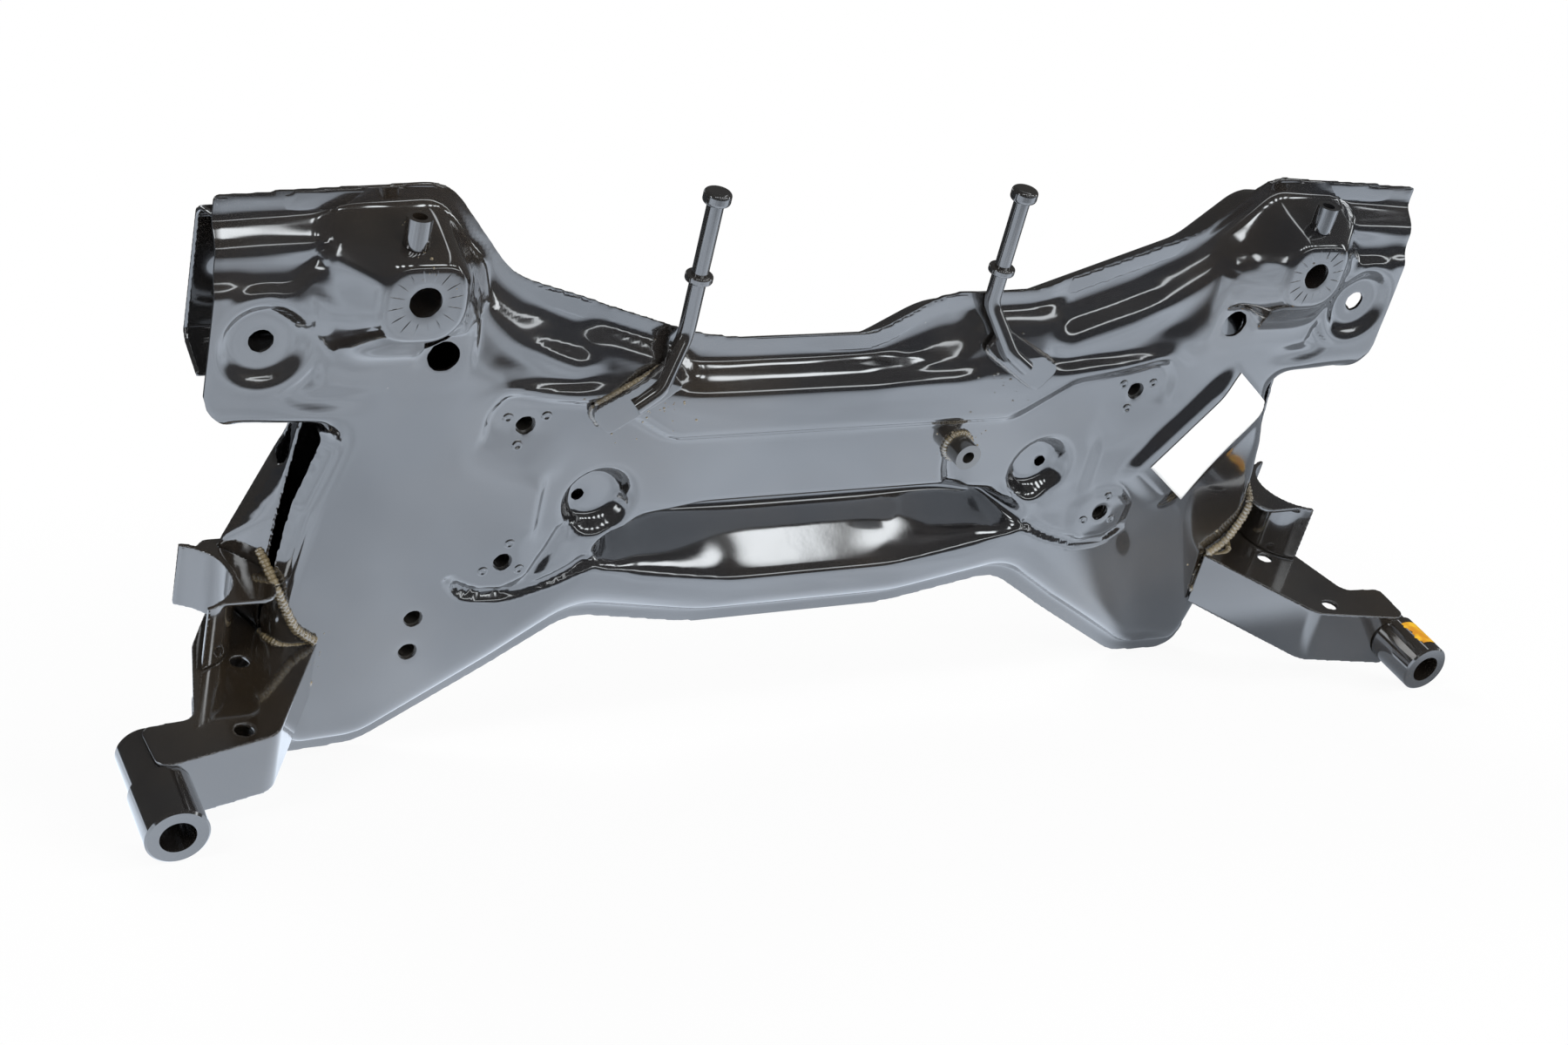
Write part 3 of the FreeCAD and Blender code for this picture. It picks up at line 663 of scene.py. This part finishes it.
def snapped(route, skins, count):
    """Points along a route of guesses, each moved to where the surfaces of two nodes meet."""
    runs = [0.0]
    for here, there_next in zip(route, route[1:]):
        runs.append(runs[-1] + (Vector(there_next) - Vector(here)).length)
    placed = []
    for index in range(count):
        distance = runs[-1] * index / (count - 1)
        leg = max(i for i in range(len(runs) - 1) if runs[i] <= distance + 1e-9)
        part = (distance - runs[leg]) / max(runs[leg + 1] - runs[leg], 1e-9)
        point = Vector(route[leg]).lerp(Vector(route[leg + 1]), part)
        for turn in range(8):
            for skin_of_node in skins:
                point = skin_of_node.find_nearest(point)[0]
        placed.append(point)
    return placed


def smoothed(route, rounds):
    """A route with its small kinks taken out."""
    for turn in range(rounds):
        inner = [(a + b * 2 + c) / 4 for a, b, c in zip(route, route[1:], route[2:])]
        route = [route[0]] + inner + [route[-1]]
    return route


def weld_bead(name, route, width, pitch=2.0, closed=False):
    """A rippled bead along a route of points in the car's frame."""
    lengths = [0.0]
    for here, there_next in zip(route, route[1:]):
        lengths.append(lengths[-1] + (there_next - here).length)
    steps = max(int(lengths[-1] / 0.5), 8)
    points, faces, sides = [], [], 10
    for index in range(steps + 1):
        distance = lengths[-1] * index / steps
        leg = max(i for i in range(len(lengths) - 1) if lengths[i] <= distance + 1e-9)
        part = (distance - lengths[leg]) / max(lengths[leg + 1] - lengths[leg], 1e-9)
        centre = route[leg].lerp(route[leg + 1], part)
        ahead = (route[leg + 1] - route[leg]).normalized()
        across_bead = ahead.orthogonal().normalized()
        up_bead = ahead.cross(across_bead)
        taper = 1.0 if closed else min(1.0, (min(distance, lengths[-1] - distance) + 0.6) / 2.5)
        drop = abs(math.sin(math.pi * distance / pitch))
        radius = 0.5 * width * taper * (0.80 + 0.24 * drop + 0.07 * math.sin(distance * 0.9 + width))
        for turn in range(sides):
            angle = 2 * math.pi * turn / sides
            points.append(centre + (across_bead * math.cos(angle) + up_bead * math.sin(angle)) * radius)
    for index in range(steps):
        for turn in range(sides):
            a, b = index * sides + turn, index * sides + (turn + 1) % sides
            faces.append((a, b, b + sides, a + sides))
    faces.append(tuple(range(sides))[::-1])
    faces.append(tuple(steps * sides + turn for turn in range(sides)))
    return new_piece(name, points, faces, weld_paint_and_highlight)


for side, name in ((1, "right"), (-1, "left")):
    arm = node_skin("tower_arm_" + name)
    bracket = node_skin("control_arm_bracket_" + name)
    guess = [(side * 322, -20, 46), (side * 345, -19, 46), (side * 372, -19, 26)]
    route = snapped(guess, (arm, skin), 26)
    weld_bead("weld_arm_root_" + name, smoothed(route, 2), 4.6)
    route = snapped([(side * 338, -30, 46), (side * 320, -50, 46)], (arm, skin), 16)
    weld_bead("weld_arm_front_" + name, smoothed(route, 2), 4.2)
    guess = [(side * 352, 24, 50), (side * 345, 24, 40), (side * 352, 24, 20)]
    route = snapped(guess, (bracket, skin), 16)
    weld_bead("weld_bracket_" + name, smoothed(route, 2), 3.8)
    turns = [(354, 34, 22), (351, 27, 34), (349, 22, 44), (345, 12, 46.5), (340, 2, 47.6), (335, -8, 48),
             (322, -17, 48.6)]
    route = [Vector((side * a, b, c)) for a, b, c in turns]
    quarters = [a.lerp(b, part) for a, b in zip(route, route[1:]) for part in (0.0, 0.25, 0.5, 0.75)]
    route = quarters + [route[-1]]
    weld_bead("weld_cheek_" + name, smoothed(route, 4), 6.0, 2.6)
    x, y = side * sleeve_x, sleeve_y
    route = [Vector((x - side * 12.5, y + 13.5, z)) for z in np.linspace(104, 136, 12)]
    weld_bead("weld_sleeve_" + name, route, 4.6)
boss_ring = [Vector((86 + 9.4 * math.cos(a), 86 + 9.4 * math.sin(a), on_skin(110, 92) + 0.8))
             for a in np.linspace(0, 2 * math.pi, 33)]
weld_bead("weld_boss", boss_ring, 4.4, 2.2, True)
for name, x, side, shift in (("right", 83.4, 1, 0.0), ("left", -122.6, -1, -14.0)):
    foot = node_skin("hanger_foot_" + name)
    seams = ((12, 172), (58, 145)), ((0, 158), (44, 128)), ((44, 128), (58, 145))
    for part, (start, end) in enumerate(seams):
        guess = [(x + side * u, v + shift, 50) for u, v in (start, end)]
        route = snapped(guess, (foot, skin), 14)
        weld_bead("weld_hanger_%s_%d" % (name, part), smoothed(route, 2), 4.0, 2.4)

# Weld spatter. Drops of steel fly off the arc and stick to the sheet beside the hanger feet, the boss,
# the arm roots and the clip tubes, thick near the weld and thin further out.
chance = random.Random(7)
points, faces = [], []
for x, y, spread, count in ((110, 146, 13, 46), (-144, 134, 13, 60), (86, 86, 9, 26), (330, -26, 10, 26),
                            (-330, -26, 10, 26), (304, 240, 7, 14), (-304, 240, 7, 14)):
    for drop in range(count):
        u, v = x + chance.gauss(0, spread), y + chance.gauss(0, spread)
        size = 0.35 + 0.75 * chance.random() ** 2
        base = len(points)
        for ring in range(5):
            lift = math.pi * 0.5 * ring / 4
            for index in range(8):
                angle = 2 * math.pi * index / 8
                points.append((u + size * math.cos(lift) * math.cos(angle),
                               v + size * math.cos(lift) * math.sin(angle),
                               on_skin(u, v) - 0.1 + 0.8 * size * math.sin(lift)))
        for ring in range(4):
            for index in range(8):
                a, b = base + ring * 8 + index, base + ring * 8 + (index + 1) % 8
                faces.append((a, b, b + 8, a + 8))
new_piece("weld_spatter", points, faces, weld_paint_and_highlight)

# Blank paper label. A strip of white paper is stuck on the deck by the right leg; its free corner
# lifts off and the paper is a little creased. It carries nothing.
paper = bpy.data.materials.new("label_paper")
paper.use_nodes = True
tree = paper.node_tree
nodes, links = tree.nodes, tree.links
where = nodes.new("ShaderNodeTexCoord")
fibre = noise(900.0, 3.0)
crease = noise(30.0, 3.0)
# The paper is darker where its crease relief is low: painted shade in the creases.
crease_shade_white, clean_white = nodes.new("ShaderNodeRGB"), nodes.new("ShaderNodeRGB")
crease_shade_white.outputs[0].default_value = (0.84, 0.85, 0.86, 1)
clean_white.outputs[0].default_value = (0.93, 0.93, 0.92, 1)
face_color = mixed(ranged(crease, 0.35, 0.65), crease_shade_white.outputs[0], clean_white.outputs[0])
surface = nodes["Principled BSDF"]
links.new(face_color, surface.inputs["Base Color"])
links.new(ranged(fibre, 0.3, 0.7, 0.5, 0.7), surface.inputs["Roughness"])
relief = nodes.new("ShaderNodeBump")
relief.inputs["Distance"].default_value = 0.0004
links.new(math_of("ADD", math_of("MULTIPLY", fibre, 0.15), crease), relief.inputs["Height"])
links.new(relief.outputs["Normal"], surface.inputs["Normal"])
points, faces = [], []
long_steps, wide_steps = 30, 16
label_length, label_width = 86.0, 45.0
for i in range(long_steps + 1):
    for j in range(wide_steps + 1):
        out_along, out_across = label_length * i / long_steps, label_width * j / wide_steps
        x = label_start[0] + label_along[0] * out_along + label_across[0] * out_across
        y = label_start[1] + label_along[1] * out_along + label_across[1] * out_across
        free = max(0.0, (out_across / label_width) - out_along / 60.0)
        wave = 0.25 * math.sin(out_along / 9.0) * math.sin(out_across / 7.0)
        points.append((x, y, on_skin(x, y) + 0.45 + wave * 0.4 + 5.0 * free ** 2))
for i in range(long_steps):
    for j in range(wide_steps):
        a = i * (wide_steps + 1) + j
        faces.append((a, a + wide_steps + 1, a + wide_steps + 2, a + 1))
label = new_piece("paper_label", points, faces, paper)
thick = label.modifiers.new("paper", "SOLIDIFY")
thick.thickness = 0.00015


# The lower panel, arms, braces, brackets and hanger feet. Bending leaves no sharp edge on them, so
# each one is worn round by a fraction of its sheet.
def worked_in(piece):
    """The piece's mesh, with its modifiers made part of it."""
    shape = bpy.data.meshes.new_from_object(piece.evaluated_get(bpy.context.evaluated_depsgraph_get()))
    piece.modifiers.clear()
    piece.data = shape
    return shape


def rounded(node, voxel, passes, budget, material=gloss_black):
    """A copy of a node with its edges rounded, in at most the given number of triangles."""
    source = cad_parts[node]
    piece = bpy.data.objects.new(node + "_skin", source.data.copy())
    scene.collection.objects.link(piece)
    cells = piece.modifiers.new("cells", "REMESH")
    cells.mode = "VOXEL"
    cells.voxel_size = voxel
    wear = piece.modifiers.new("wear", "SMOOTH")
    wear.factor = 0.5
    wear.iterations = passes
    shape = worked_in(piece)
    count = sum(len(face.vertices) - 2 for face in shape.polygons)
    if count > budget:
        fewer = piece.modifiers.new("fewer", "DECIMATE")
        fewer.ratio = budget / count
        shape = worked_in(piece)
    shape.shade_smooth()
    shape.materials.clear()
    shape.materials.append(material)
    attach(piece, "root")
    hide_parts(node)
    return piece


rounded("lower_panel", 0.0013, 4, 160000)
for side in ("right", "left"):
    rounded("tower_arm_" + side, 0.0008, 6, 60000)
    rounded("tower_brace_" + side, 0.0008, 6, 16000)
    rounded("control_arm_bracket_" + side, 0.0008, 6, 24000)
    rounded("hanger_foot_" + side, 0.0006, 4, 10000)

# Bare nuts and the boss keep the grey zinc phosphate of bought parts under a thin wash of the black
# dip; the tubes and rods are painted like the sheet.
zinc_grey = painted("phosphated_steel", (0.045, 0.043, 0.040), (0.10, 0.09, 0.075), 0.24, 0.9, 0.0002)
zinc_grey.node_tree.nodes["Principled BSDF"].inputs["Metallic"].default_value = 0.6
for name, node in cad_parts.items():
    if not node.hide_render:
        node.data.materials.clear()
        node.data.materials.append(zinc_grey if "nut" in name or "boss" in name else gloss_black)
        node.data.shade_smooth()
        node.data.set_sharp_from_angle(angle=math.radians(35))
